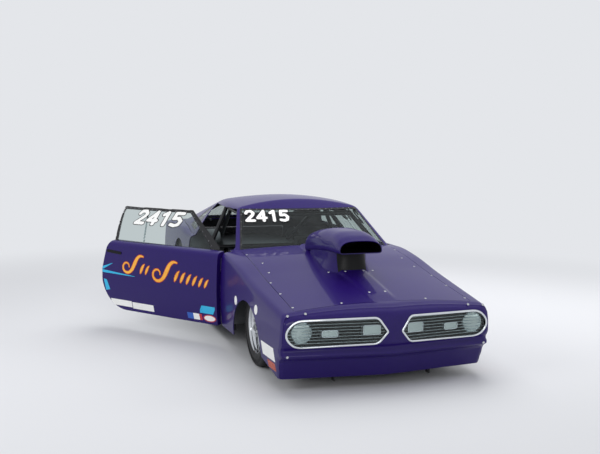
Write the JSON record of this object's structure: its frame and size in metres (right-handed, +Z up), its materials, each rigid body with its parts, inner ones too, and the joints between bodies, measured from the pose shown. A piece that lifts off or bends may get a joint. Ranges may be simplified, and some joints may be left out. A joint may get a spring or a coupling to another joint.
{
  "type": "drag racing car",
  "caption": "Two-door fastback coupe for drag racing: moulded body over a tube chassis with roll cage, hood scoop, slick rear tyres, opening doors and deck lid, steering.",
  "frame": {"origin": "on the floor the tyres stand on, on the car's centre line, half-way between the front and rear axles", "axes": "+Z up, -Y forward, +X to the car's left"},
  "size_m": [2.6463, 4.906, 1.237],
  "materials": {
    "axle_iron": "painted black",
    "cast_metal": "cast, satin",
    "chassis_paint": "gloss black powder coat on steel tube",
    "clear_sheet": "clear polycarbonate sheet",
    "grille_metal": "polished and satin bars",
    "lamp_glass": "sealed-beam lamp with fluted lens",
    "paint": "gloss violet two-stage paint on moulded fibreglass",
    "rim_alloy": "polished spun aluminium",
    "seat_shell": "black woven cover on an aluminium shell",
    "sheet_metal": "mill-finish sheet",
    "steel": "machined",
    "tail_lens": "ribbed red lens",
    "tyre_rubber": "black rubber, bare of lettering",
    "wheel_grip": "black grip on a steel ring",
    "window_frame": "satin black"
  },
  "bodies": {
    "chassis": {"chassis_rails": "chassis_paint", "cowl": "paint", "cross_members": "chassis_paint", "dash": "sheet_metal", "deck_hinges": "steel", "engine": "cast_metal", "firewall": "sheet_metal", "floor_pan": "sheet_metal", "front_end": "paint", "front_strut_left": "chassis_paint", "front_strut_right": "chassis_paint", "fuel_cell": "sheet_metal", "gearbox": "cast_metal", "grille_covers": "clear_sheet", "grille_left": "grille_metal", "grille_right": "grille_metal", "headlamps": "lamp_glass", "hinge_brackets": "chassis_paint", "hood": "paint", "hood_scoop": "paint", "propshaft": "steel", "quarter_left": "paint", "quarter_right": "paint", "quarter_windows": "clear_sheet", "rack_housing": "cast_metal", "rear_axle_housing": "axle_iron", "rear_bumper": "paint", "rear_floor": "sheet_metal", "rear_suspension": "chassis_paint", "rear_tubs": "sheet_metal", "rear_window": "clear_sheet", "roll_cage": "chassis_paint", "roof": "paint", "seat": "seat_shell", "sills": "chassis_paint", "steering_column": "steel", "tail_lamps": "tail_lens", "tail_panel": "paint", "windscreen": "clear_sheet"},
    "door_left": {"door_left": "paint", "door_frame_left": "window_frame", "door_window_left": "clear_sheet"},
    "door_right": {"door_right": "paint", "door_frame_right": "window_frame", "door_window_right": "clear_sheet"},
    "deck_lid": {"deck_lid": "paint"},
    "steering_wheel": {"steering_wheel": "wheel_grip"},
    "rack": {"rack_bar": "steel"},
    "knuckle_left": {"knuckle_left": "steel"},
    "knuckle_right": {"knuckle_right": "steel"},
    "front_wheel_left": {"front_tyre_left": "tyre_rubber", "front_rim_left": "rim_alloy"},
    "front_wheel_right": {"front_tyre_right": "tyre_rubber", "front_rim_right": "rim_alloy"},
    "rear_wheels": {"rear_tyre_left": "tyre_rubber", "rear_tyre_right": "tyre_rubber", "rear_rim_left": "rim_alloy", "rear_rim_right": "rim_alloy", "axle_shaft": "steel"}
  },
  "joints": [
    {"name": "steering_wheel_turn", "type": "hinge", "parent": "chassis", "child": "steering_wheel", "pos_m": [0.375, -0.15, 0.66], "axis": [0, 0.9135, 0.4067], "range_deg": [-270, 270]},
    {"name": "steer_left", "type": "hinge", "parent": "chassis", "child": "knuckle_left", "pos_m": [0.61, -1.3715, 0.305], "axis": [0, 0, 1], "range_deg": [-18, 18]},
    {"name": "steer_right", "type": "hinge", "parent": "chassis", "child": "knuckle_right", "pos_m": [-0.61, -1.3715, 0.305], "axis": [0, 0, 1], "range_deg": [-18, 18]},
    {"name": "rack_slide", "type": "slide", "parent": "chassis", "child": "rack", "axis": [1, 0, 0], "range_m": [-0.0403, 0.0403]},
    {"name": "front_left_spin", "type": "hinge", "parent": "knuckle_left", "child": "front_wheel_left", "pos_m": [0.722, -1.3715, 0.305], "axis": [1, 0, 0], "continuous": true},
    {"name": "front_right_spin", "type": "hinge", "parent": "knuckle_right", "child": "front_wheel_right", "pos_m": [-0.722, -1.3715, 0.305], "axis": [1, 0, 0], "continuous": true},
    {"name": "rear_wheels_spin", "type": "hinge", "parent": "chassis", "child": "rear_wheels", "pos_m": [0, 1.3715, 0.381], "axis": [1, 0, 0], "continuous": true},
    {"name": "door_left_open", "type": "hinge", "parent": "chassis", "child": "door_left", "pos_m": [0.85324, -0.684, 0.47], "axis": [0, 0, -1], "range_deg": [0, 62]},
    {"name": "door_right_open", "type": "hinge", "parent": "chassis", "child": "door_right", "pos_m": [-0.85324, -0.684, 0.47], "axis": [0, 0, 1], "range_deg": [-36.6, 25.4]},
    {"name": "deck_lid_open", "type": "hinge", "parent": "chassis", "child": "deck_lid", "pos_m": [0, 1.975, 0.868], "axis": [1, 0, 0], "range_deg": [0, 60]}
  ],
  "couplings": [
    {"joint": "steer_left", "follows": "steering_wheel_turn", "ratio": 0.066667},
    {"joint": "steer_right", "follows": "steering_wheel_turn", "ratio": 0.066667},
    {"joint": "rack_slide", "follows": "steering_wheel_turn", "m_per_rad": -0.008533}
  ]
}
